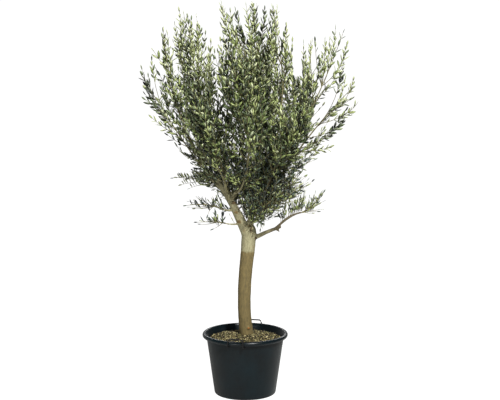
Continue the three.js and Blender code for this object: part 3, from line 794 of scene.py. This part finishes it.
stems = [mass_stem(mass) for mass in MASSES]
limb_a = np.concatenate([np.asarray(line)[:-1] for line, _ in skeleton.values()])
limb_b = np.concatenate([np.asarray(line)[1:] for line, _ in skeleton.values()])
limb_r = np.concatenate([np.maximum(radii[:-1], radii[1:]) for _, radii in skeleton.values()])
open_rows = [(*gap, THROUGH) for gap in GAPS]
for name, count, room in (("left", 8, 34), ("left_inner", 3, 18)):
    line = arc(*arcs[name], 10)[: count + 1, [0, 2]]
    open_rows += [(*a, *b, room, IN_FRONT) for a, b in zip(line, line[1:])]
open_rows = np.array(open_rows)
EYE = np.array(camera.location) / MM
low_corner = np.array(cad_box[0]) / MM - OUTSIDE_BOX
high_corner = np.array(cad_box[1]) / MM + OUTSIDE_BOX


def levels(points):
    """How far out each point lies in each mass's space: 0 on its stem, 1 on its surface."""
    out = np.empty((len(points), len(stems)))
    for k, stem in enumerate(stems):
        gap = np.linalg.norm(points[:, None, :] - stem["line"][None], axis=2)
        out[:, k] = (gap / stem["widths"]).min(axis=1)
    return out


def distances(points, a, b):
    """From each point to each of many straight pieces that run from a to b."""
    along = b - a
    t = np.clip(((points[:, None] - a) * along).sum(2) / (along * along).sum(1), 0, 1)
    return np.linalg.norm(points[:, None] - (a + t[..., None] * along), axis=2)


def leaves_gaps_open(points):
    """False for points that stand in a gap as the camera sees it."""
    sight = EYE + (points - EYE) * (EYE[1] / (EYE[1] - points[:, 1]))[:, None]
    beside = distances(sight[:, [0, 2]], open_rows[:, :2], open_rows[:, 2:4])
    return ~((beside < open_rows[:, 4]) & (points[:, 1, None] < open_rows[:, 5])).any(axis=1)


def keeps_to_space(points, own, reach, margin=None, limb_margin=6):
    """One answer for each row of probes: are they all inside this mass's own space and off the limbs?"""
    shape = points.shape[:-1]
    flat = points.reshape(-1, 3)
    level = levels(flat)
    mine = level[:, own].reshape(shape)
    good = mine < np.asarray(reach).reshape(-1, 1)
    if margin is not None:
        good &= np.delete(level, own, axis=1).min(axis=1).reshape(shape) > mine + margin
    inside = ((flat > low_corner) & (flat < high_corner)).all(axis=1)
    clear = (distances(flat, limb_a, limb_b) > limb_r + limb_margin).all(axis=1)
    good &= (inside & clear & leaves_gaps_open(flat)).reshape(shape)
    return good.all(axis=1)


print("spaces:", len(stems), "limb segments:", len(limb_r), "gaps:", len(GAPS))

# %% Grow shoots and fine twigs


def number_stream(seed):
    """The same repeatable numbers from 0 to 1 that the measured model draws."""
    state = seed
    while True:
        state = (state * 1664525 + 1013904223) % 4294967296
        yield state / 4294967296


def along_line(line, share):
    place = share * (len(line) - 1)
    below = min(int(place), len(line) - 2)
    return lerp(line[below], line[below + 1], place - below), unit(line[below + 1] - line[below])


def leaning(direction, angle, azimuth):
    """Directions that lean away from `direction` by `angle`, turned about it by `azimuth`."""
    side = unit(np.cross(direction, [1.0, 0, 0]))
    other = np.cross(direction, side)
    angle, azimuth = np.atleast_1d(angle)[:, None], np.atleast_1d(azimuth)[:, None]
    sideways = side * np.sin(angle) * np.cos(azimuth)
    return direction * np.cos(angle) + sideways + other * np.sin(angle) * np.sin(azimuth)


def fitted_arcs(rows, lift, own, shares, reach, margin=None):
    """Arcs from rows of start, heading and length, at the longest share that keeps to the space, if any does."""
    starts, headings, lengths = (np.array(column) for column in zip(*rows))
    reach = np.broadcast_to(reach, len(starts))
    found = [None] * len(starts)
    for part in shares:
        todo = [i for i, f in enumerate(found) if f is None]
        if not todo:
            break
        length = (lengths[todo] * part)[:, None]
        middle = starts[todo] + headings[todo] * length / 2
        end = starts[todo] + headings[todo] * length + np.array([0, 0, 1]) * lift * length
        probes = arc(starts[todo], middle, end, 8)[:, [2, 4, 6, 8]]
        for i, m, e, fits in zip(todo, middle, end, keeps_to_space(probes, own, reach[todo], margin)):
            if fits:
                found[i] = (starts[i], m, e)
    return [f for f in found if f]


def mass_shoots(index, count, seed, stream, reach, margin=None):
    """Side shoots on a stem by the rule of the measured model."""
    stem = stems[index]
    rows = []
    for i in range(count):
        share = lerp(GROWTH["first"], GROWTH["last"], (i + 0.8 * next(stream)) / (count - 0.2))
        angle = lerp(GROWTH["low"], GROWTH["high"], share) + 0.3 * (next(stream) - 0.5)
        vigour = 0.85 + 0.4 * next(stream)
        point, direction = along_line(stem["wood"], share)
        heading = leaning(direction, angle, i * GROWTH["golden"] + seed)[0]
        width = stem["widths"][round(share * stem["wood_share"] * 12)]
        rows.append((point, heading, vigour * width / math.sin(angle)))
    return fitted_arcs(rows, GROWTH["lift"], index, SHARES, reach, margin)


TWIG_SPACING = 25
LEVEL_TWIG, RISING_TWIG = (50, 120, 0.1), (80, 230, 0.75)  # shortest, longest, how far the tip turns up


def fine_twigs(parents, index, rng):
    """Short twigs along each shoot, in a spiral, that turn upwards."""
    rows = []
    mass = MASSES[index]
    shortest, longest, lift = LEVEL_TWIG if mass["name"] in COMBS else RISING_TWIG
    for curve in parents:
        line = arc(*curve, 10)
        count = max(2, round(length_of(line) / TWIG_SPACING))
        turn = rng.uniform(0, 6.3)
        for i in range(count):
            share = lerp(0.18, 0.93, (i + rng.uniform(0, 0.8)) / count)
            point, direction = along_line(line, share)
            angle = lerp(0.8, 0.4, share) + rng.uniform(-0.2, 0.2)
            heading = leaning(direction, angle, turn + i * GROWTH["golden"])[0]
            rows.append((point, heading, rng.uniform(shortest, longest)))
    reach = mass["slim"] * (0.66 + 0.5 * rng.uniform(0, 1, len(rows)) ** 2)
    found = fitted_arcs(rows, lift, index, (1, 0.8, 0.62), reach)
    # twigs thin out towards the surface of the space and in the valleys between two masses
    rank = levels(np.array([f[2] for f in found]).reshape(-1, 3))
    outer = rank[:, index]
    valley = np.clip(0.65 + 1.8 * (np.delete(rank, index, axis=1).min(axis=1) - outer), 0.6, 1)
    chance = mass["keep"] * np.clip(1.6 - 1.2 * outer, 0.3, 1) * valley
    return [f for f, likely in zip(found, chance) if rng.uniform() < likely]


FILL_SHOOTS = 18
sprays = []
for index, mass in enumerate(MASSES):
    seed = 7919 * (index + 1)
    rng = np.random.default_rng(seed)
    first = mass_shoots(index, GROWTH["shoots"], seed, number_stream(seed), 1, 0.07)
    first = first[::2] if mass["name"] in COMBS else first
    more = round(FILL_SHOOTS * mass["keep"])
    reach = rng.uniform(0.62, 1.05, more) * mass["slim"]
    shoots = first + mass_shoots(index, more, seed + 1.2, number_stream(seed + 1), reach)
    whole = arc(*stems[index]["curve"], 40)
    leader = whole[round(40 * stems[index]["wood_share"]):]
    twigs = fine_twigs(shoots + [(leader[0], leader[len(leader) // 2], leader[-1])], index, rng)
    sprays.append({"whole": whole, "leader": leader, "shoots": shoots, "twigs": twigs, "whips": []})
print("shoots:", sum(len(s["shoots"]) for s in sprays), "fine twigs:", sum(len(s["twigs"]) for s in sprays))

# %% [markdown]
# The longest whips carry the outline of the crown. Each leaves its mass's stem, swings a little outwards and then
# stands up to its tip, and it bears its leaves in pairs up to the very end. Their tips are listed, so only
# their leaves, and not the whips themselves, are held to the spaces.

# %% Long whips
# for each mass: share of its stem, then the tip in millimetres
WHIPS = {
    "left_low": [(0.6, -512, -30, 1658), (0.6, -462, -50, 1703), (0.5, -478, -70, 1620)],
    "left": [(0.5, -405, -30, 1848), (0.5, -380, -70, 1832)],
    "left_top": [(0.62, -325, -10, 1945), (0.55, -350, 20, 1875), (0.55, -263, -50, 1876),
                 (0.5, -232, -10, 1862), (0.35, -170, -10, 1792), (0.3, -175, -60, 1720),
                 (0.2, -172, -60, 1600), (0.25, -165, -90, 1650)],
    "left_inner": [(0.4, -150, -60, 1740), (0.75, -117, -10, 1978), (0.7, -72, 0, 1940), (0.5, -100, -130, 1790),
                   (0.5, -90, 120, 1820), (0.4, -60, 90, 1700), (0.2, -150, -40, 1560)],
    "middle": [(0.7, -45, -30, 1945), (0.75, 98, -10, 1950), (0.75, 8, -10, 1968), (0.8, 38, 0, 1990),
               (0.6, 142, -20, 1952), (0.66, 160, 0, 1958), (0.5, 20, -140, 1850), (0.45, 70, -110, 1800),
               (0.4, 0, -100, 1720), (0.5, -20, 130, 1860), (0.45, 90, 150, 1820), (0.4, 30, 120, 1720)],
    "top_right": [(0.45, 206, -30, 1870), (0.35, 236, 0, 1797), (0.5, 130, -120, 1780), (0.5, 150, 110, 1790)],
    "upper_right": [(0.2, 228, -20, 1732), (0.3, 291, -20, 1787), (0.45, 327, 10, 1782), (0.6, 350, 0, 1797),
                    (0.6, 398, -30, 1797), (0.7, 420, -20, 1800), (0.6, 450, 0, 1856), (0.6, 504, -20, 1777)],
    "right": [(0.6, 494, 0, 1708), (0.6, 500, -20, 1610), (0.7, 542, 10, 1601), (0.6, 569, 0, 1500),
              (0.45, 489, -30, 1400), (0.3, 425, -20, 1271)],
    "front": [(0.6, -60, -160, 1810), (0.5, -30, -200, 1760), (0.4, -60, -130, 1700), (0.5, -130, -150, 1740)],
    "back": [(0.6, 70, 250, 1830), (0.5, 40, 210, 1780), (0.4, 60, 180, 1700), (0.5, 130, 230, 1740)],
    "back_right": [(0.5, 240, 160, 1700), (0.5, 180, 200, 1650)],
    "right_front": [(0.6, 220, -200, 1450), (0.7, 160, -260, 1500)],
    "low_back_left": [(0.5, -350, 150, 1100), (0.4, -330, 180, 1060), (0.3, -285, 160, 1045)],
    "low_front_right": [(0.0, 78, -60, 866), (0.05, 96, -90, 878), (0.02, 62, -90, 872)],
    "hanging_left": [(0.3, -152, -60, 948), (0.1, -112, -62, 940)],
    "low_left": [(0.2, -185, -70, 938)],
    "back_left": [(0.6, -240, 150, 1680), (0.6, -200, 240, 1640)],
    "front_left": [(0.6, -170, -240, 1580)],
}
numbers = {mass["name"]: index for index, mass in enumerate(MASSES)}
for name, rows in WHIPS.items():
    for share, *tip in rows:
        start = arc(*stems[numbers[name]]["curve"], 100)[round(100 * share)]
        tip = np.array(tip, float)
        swing = np.array([0.3, 0.3, -0.06]) * (tip - start) * [1, 1, 3]
        sprays[numbers[name]]["whips"].append((start, (start + tip) / 2 + swing, tip))
print(sum(len(s["whips"]) for s in sprays), "long whips")

# %% [markdown]
# The boughs themselves bud as well, most thickly in the middle of the crown. Their short leafy shoots keep to the
# shade inside it, where they close the view between the limbs, and on the long low bough they stand upright.

# %% Inner twigs along the boughs
BUDS = {"spacing": 5, "shortest": 60, "longest": 190, "off_bark": 9, "reach": 14}
rng = np.random.default_rng(77)
for index, mass in enumerate(MASSES):
    name = mass["name"]
    low = name.startswith("low_right")
    line = arc(*arcs[name], 20)
    if low:
        line = np.concatenate([arc(*arcs["low_right"], 20)[6:16], line])
    count = int(length_of(line) / BUDS["spacing"] * mass["buds"])
    nearest = 0.03 if mass["buds"] > 1 else 0.14
    starts, headings = [], []
    for i in range(count):
        point, direction = along_line(line, lerp(nearest, 1.0, (i + rng.uniform()) / count))
        heading = leaning(direction, rng.uniform(0.6, 1.2), i * GROWTH["golden"])[0]
        heading[2] = abs(heading[2])
        if low:
            heading = unit(heading + np.array([0, 0, 1.6]))
        starts.append(point + heading * BUDS["off_bark"])
        headings.append(heading)
    lengths = rng.uniform(BUDS["shortest"], BUDS["longest"], count) * (0.4 if name in COMBS else 1)
    rows = zip(starts, headings, lengths)
    sprays[index]["buds"] = fitted_arcs(rows, 0.3, index, (1, 0.7, 0.45), BUDS["reach"])
print("inner twigs:", sum(len(s["buds"]) for s in sprays))

# %% [markdown]
# Twigs are three-sided tubes, which is enough for wood a few millimetres thick. All twigs with the same number of
# rings are worked out together. Young olive wood is pale grey-green and turns light brown as it thickens.

# %% Make the twigs


def tubes_of(lines, radii, sides):
    """Closed tubes along many lines with the same number of points."""
    count, rings = lines.shape[:2]
    tangents = np.empty_like(lines)
    tangents[:, 1:-1] = lines[:, 2:] - lines[:, :-2]
    tangents[:, 0] = lines[:, 1] - lines[:, 0]
    tangents[:, -1] = lines[:, -1] - lines[:, -2]
    tangents = unit(tangents)
    side = unit(np.cross(tangents, [0.36, 0.93, 0.08]))
    other = np.cross(tangents, side)
    turn = np.arange(sides) * 2 * math.pi / sides
    ring = side[:, :, None] * np.cos(turn)[:, None] + other[:, :, None] * np.sin(turn)[:, None]
    points = (lines[:, :, None] + ring * radii[:, :, None, None]).reshape(-1, 3)
    faces = []
    for r in range(rings - 1):
        for s in range(sides):
            a, b = r * sides + s, r * sides + (s + 1) % sides
            faces += [[a, b, b + sides], [a, b + sides, a + sides]]
    last = (rings - 1) * sides
    faces += [[0, s + 1, s] for s in range(1, sides - 1)]
    faces += [[last, last + s, last + s + 1] for s in range(1, sides - 1)]
    faces = np.array(faces)[None] + (np.arange(count) * rings * sides)[:, None, None]
    return points, faces.reshape(-1, 3)


def join_arrays(parts):
    """Puts several (points, triangles) pairs into one."""
    points, faces, base = [], [], 0
    for p, f in parts:
        points.append(p)
        faces.append(f + base)
        base += len(p)
    return np.concatenate(points), np.concatenate(faces)


def thinning(lines, thick, thin):
    return np.tile(np.linspace(thick, thin, lines.shape[1]), (len(lines), 1))


twig_bark, shader = new_material("young olive twig bark", "6d6a4e", 0.8, 1.45)
specks = noise(twig_bark, own_place(twig_bark), 60, 3)
link(twig_bark, ramp(twig_bark, specks, [(0.35, "454029"), (0.65, "77724f")]), shader.inputs["Base Color"])
girths = {limb[0]: limb[4][1] for limb in LIMBS}
TUBES = [
    # kinds of twig, radius at both ends, steps along it
    (["shoots", "whips"], 2.6, 0.9, 8),
    (["twigs", "buds"], 1.3, 0.6, 4),
]
parts = []
for mass, spray in zip(MASSES, sprays):
    stem = spray["whole"][None, ::2]
    parts.append(tubes_of(stem, thinning(stem, girths[mass["name"]], 1.1), 6))
for kinds, thick, thin, steps in TUBES:
    curves = np.array([curve for spray in sprays for kind in kinds for curve in spray[kind]])
    lines = arc(*curves.transpose(1, 0, 2), steps)
    parts.append(tubes_of(lines, thinning(lines, thick, thin), 3))
points, faces = join_arrays(parts)
twigs = mesh_piece("twigs", points, faces, [twig_bark], np.zeros(len(faces)))
for polygon in twigs.data.polygons:
    polygon.use_smooth = True
finish_piece(twigs)

# %% [markdown]
# ## Leaves
# An olive leaf is narrow and leathery, 30 to 50 mm long, dark grey-green above with its edges rolled down, and
# silvery underneath where fine scales cover it. The leaves stand in opposite pairs, and each pair is turned a
# quarter from the last. One blank leaf of twelve triangles is stamped along every twig. Its colours are dealt out
# by spray: old leaves deep in the crown are dark, and young ones at its top and outside are pale, partly for their
# age and partly as painted light. Round two places inside the crown the sprays are painted darker as shade, and a
# leaf is a tone off here and there. Low in the crown, where light is short, leaves are smaller and fewer, and the
# three oldest ages are painted cooler there as shade.

# %% Find the leaves' seats
LEAF = {"length": 44, "width": 15.5, "spacing": 29}
LEAF_BLANK = np.array([
    [0, 0, 0], [-0.36, 0.3, -0.02], [0.36, 0.3, -0.02], [0, 0.3, 0.16],
    [-0.4, 0.66, -0.06], [0.4, 0.66, -0.06], [0, 0.66, 0.12], [0, 1, -0.16],
])
UPPER_FACES = [[0, 3, 1], [0, 2, 3], [1, 3, 6], [1, 6, 4], [3, 2, 5], [3, 5, 6], [4, 6, 7], [6, 5, 7]]
UNDER_FACES = [[0, 1, 2], [1, 4, 5], [1, 5, 2], [4, 7, 5]]
LEAF_FACES = np.array(UPPER_FACES + UNDER_FACES)


def leaf_seats(curve, first, spacing, upright, rng):
    """Root, heading, twig direction and size for each leaf on one twig."""
    line = np.asarray(curve) if len(curve) > 3 else arc(*curve, 10)
    pairs = max(1, int(length_of(line) * (1 - first) / spacing))
    turn = rng.uniform(0, 6.3)
    seats = []
    for i in range(pairs):
        share = lerp(first, 0.97, (i + 0.3 * rng.uniform()) / pairs)
        point, direction = along_line(line, share)
        young = max(0.0, (share - 0.7) / 0.3)
        for half in (0, math.pi):
            angle = lerp(0.8, 0.42, share) + rng.normal(0, 0.14)
            heading = leaning(direction, angle, turn + i * math.pi / 2 + half + rng.normal(0, 0.15))[0]
            if upright:
                heading = unit(heading * [0.7, 0.7, 0] + [0, 0, 0.7 + 0.3 * abs(heading[2])])
            seats.append((point, heading, direction, rng.uniform(0.78, 1.12) * (1 - 0.35 * young)))
    point, direction = along_line(line, 0.99)
    seats.append((point, leaning(direction, 0.12, turn)[0], leaning(direction, 1.5, turn)[0], 0.7))
    return seats


# what bears leaves: where on it they start, and their spacing as a share of the usual one
BEARERS = {"shoots": (0.3, 1), "whips": (0.25, 0.62), "twigs": (0.16, 1), "buds": (0.16, 1)}
TONES = 5
CROWN_FOOT, CROWN_HEIGHT = 1000, 900
# painted shade: leaves near these two places inside the crown are dealt darker tones
PAINTED_SHADE_PLACES = np.array([[-150, 0, 1480], [65, 0, 1290]])  # the two darkest places inside the crown
DARKEST, FADING = 90, 320  # how far the dark reaches from there, and how far it fades
leaf_rows = []
for index, spray in enumerate(sprays):
    rng = np.random.default_rng(101 + index)
    upright = MASSES[index]["name"] in COMBS
    bearers = [(spray["leader"], 0.05, LEAF["spacing"])]
    for kind, (first, share) in BEARERS.items():
        bearers += [(curve, first, share * LEAF["spacing"]) for curve in spray[kind]]
    for curve, first, spacing in bearers:
        end = np.asarray(curve[-1], float)
        # partly leaf age and partly painted light: twigs that end far out or high in the crown get paler tones
        outer = float(levels(end[None])[0].min())
        high = np.clip((end[2] - CROWN_FOOT) / CROWN_HEIGHT, 0, 1)
        # painted shade: twigs that end near the two places get darker tones
        away = np.linalg.norm((end - PAINTED_SHADE_PLACES) * [1, 0.3, 1], axis=1).min()
        away = np.clip((away - DARKEST) / FADING, 0, 1)
        tone = 0.22 * outer + 0.2 * high + 0.26 * away + rng.normal(0, 0.36) + 0.05
        tone = int(np.clip(tone * TONES, 0, TONES - 1))
        leaf_rows += [(index, tone, *seat) for seat in leaf_seats(curve, first, spacing, upright, rng)]
owner, tones, roots, headings, directions, sizes = (np.array([row[k] for row in leaf_rows]) for k in range(6))
print(len(leaf_rows), "seats for leaves")

# %% Vary the tones, and thin the leaves low down
LOW = {"from": 1080, "over": 270, "size": 0.8, "kept": 0.63}
shift = np.random.default_rng(17).choice([-1, 0, 1, 2], len(tones), p=[0.2, 0.52, 0.17, 0.11])
tones = np.clip(tones + shift, 0, TONES - 1)
rise = np.clip((roots[:, 2] - LOW["from"]) / LOW["over"], 0, 1)
sizes *= lerp(LOW["size"], 1, rise)
# painted shade: low leaves of the three oldest ages switch to the cooler shaded copies of their colours
shaded = (np.random.default_rng(29).uniform(size=len(rise)) > rise) & (tones < 3)
tones = np.where(shaded, tones + TONES, tones)
combs = np.isin(owner, [numbers[name] for name in COMBS])
fallen = (np.random.default_rng(23).uniform(size=len(rise)) > lerp(LOW["kept"], 1, rise)) & ~combs
print(int(shaded.sum()), "leaves in the shade,", int(fallen.sum()), "seats bare")

# %% Keep the leaves that stay in their space
middles = roots + headings * LEAF["length"] * 0.6 * sizes[:, None]
tips = roots + headings * LEAF["length"] * sizes[:, None]
kept = np.zeros(len(roots), bool)
for index in range(len(MASSES)):
    mine = np.flatnonzero(owner == index)
    probes = np.stack([middles[mine], tips[mine]], axis=1)
    kept[mine] = keeps_to_space(probes, index, BUDS["reach"], limb_margin=2)
kept &= ~fallen
columns = (owner, tones, roots, headings, directions, sizes)
owner, tones, roots, headings, directions, sizes = (column[kept] for column in columns)
print(len(roots), "leaves kept")

# %% [markdown]
# The upper side is a waxy cuticle: darker, with a soft gloss. The underside is a felt of tiny scales: paler, greyer
# and without gloss. Both are plain colours, one pair for each age of spray, and a cooler pair for each of the three
# oldest ages, which paints shade on the leaves low in the crown.

# %% Leaf finishes
AGES = [
    # age, upper side, underside
    ("old", "161d0f", "535a48"),
    ("grown", "303b20", "6d7859"),
    ("summer", "4f5c33", "878f70"),
    ("fresh", "6b7643", "989f74"),
    ("young", "868f5b", "adb28c"),
    # painted shade: cooler copies of the three oldest ages, for the leaves low in the crown
    ("old shaded", "131a16", "535d55"),
    ("grown shaded", "2a342b", "6f7a6c"),
    ("summer shaded", "46523f", "8c9680"),
]
leaf_finishes = []
for age, upper, under in AGES:
    for side, shade, roughness in (("upper", upper, 0.38), ("under", under, 0.75)):
        leaf_finishes.append(new_material(f"olive leaf {age} {side}", shade, roughness, 1.42)[0])
print(len(leaf_finishes), "leaf finishes")

# %% Stamp the leaves, as many masses to a piece as it can hold
PIECE_LIMIT = 190000  # triangles
CROWN_MIDDLE = np.array([0, 0, 1150.0])
roll = np.random.default_rng(5).normal(0, 0.5, (len(roots), 3))
axes = frames_of(headings, 0.45 * directions + 0.75 * unit(roots - CROWN_MIDDLE) + roll)
scale = np.tile([LEAF["width"], LEAF["length"], LEAF["width"]], (len(roots), 1)) * sizes[:, None]
groups, group, count = [], [], 0
for index in range(len(MASSES)):
    own = int((owner == index).sum()) * len(LEAF_FACES)
    if group and count + own > PIECE_LIMIT:
        groups.append(group)
        group, count = [], 0
    group.append(index)
    count += own
groups.append(group)
for number, group in enumerate(groups, 1):
    own = np.isin(owner, group)
    points, faces = stamp(LEAF_BLANK, LEAF_FACES, roots[own], axes[own], scale[own])
    sides = np.tile([0] * len(UPPER_FACES) + [1] * len(UNDER_FACES), int(own.sum()))
    indices = np.repeat(tones[own] * 2, len(LEAF_FACES)) + sides
    leaves = mesh_piece(f"leaves_{number}", points, faces, leaf_finishes, indices)
    finish_piece(leaves, ["foliage_" + MASSES[i]["name"] for i in group])

# %% [markdown]
# ## Last step
# The box of the measured model is printed at the end.

# %% Write the sizes and finish
print("measured box", [round(v, 3) for c in cad_box for v in c])
